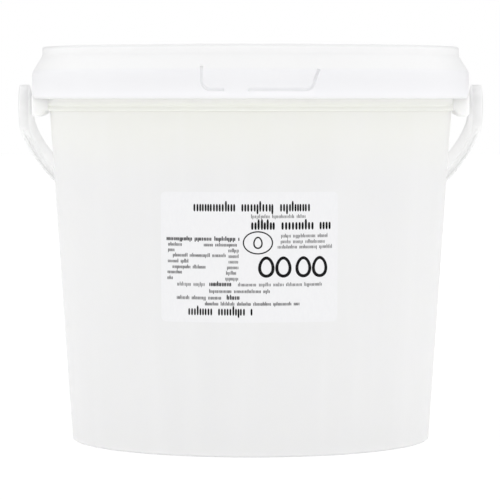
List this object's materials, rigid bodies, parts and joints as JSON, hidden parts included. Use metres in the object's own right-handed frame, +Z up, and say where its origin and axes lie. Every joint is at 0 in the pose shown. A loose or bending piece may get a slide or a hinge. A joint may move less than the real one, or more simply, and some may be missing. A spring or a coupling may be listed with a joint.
{
  "type": "lidded food pail",
  "caption": "Round tapered plastic food pail with a press-fit lid, a tear tab in the skirt of the lid, a swinging bail hung from side ears and a paper label on the front.",
  "frame": {"origin": "on the pail's axis at the underside of its foot, the bottom centre of the whole", "axes": "+Z up along the pail's axis; the label and the tear tab face -Y; X runs through the bail's two pivots"},
  "size_m": [0.2392, 0.226, 0.2029],
  "materials": {
    "pail_plastic": "milky, slightly see-through polypropylene, satin",
    "lid_plastic": "opaque white polypropylene, fine satin grain",
    "handle_plastic": "white polypropylene, satin",
    "label_paper": "white coated paper with dark grey print"
  },
  "bodies": {
    "tub": {"pail": "pail_plastic", "lid": "lid_plastic", "label": "label_paper"},
    "bail": {"handle": "handle_plastic"}
  },
  "joints": [
    {"name": "bail_swing", "type": "hinge", "parent": "tub", "child": "bail", "pos_m": [0, 0, 0.1719], "axis": [1, 0, 0], "range_deg": [0, 250]}
  ]
}
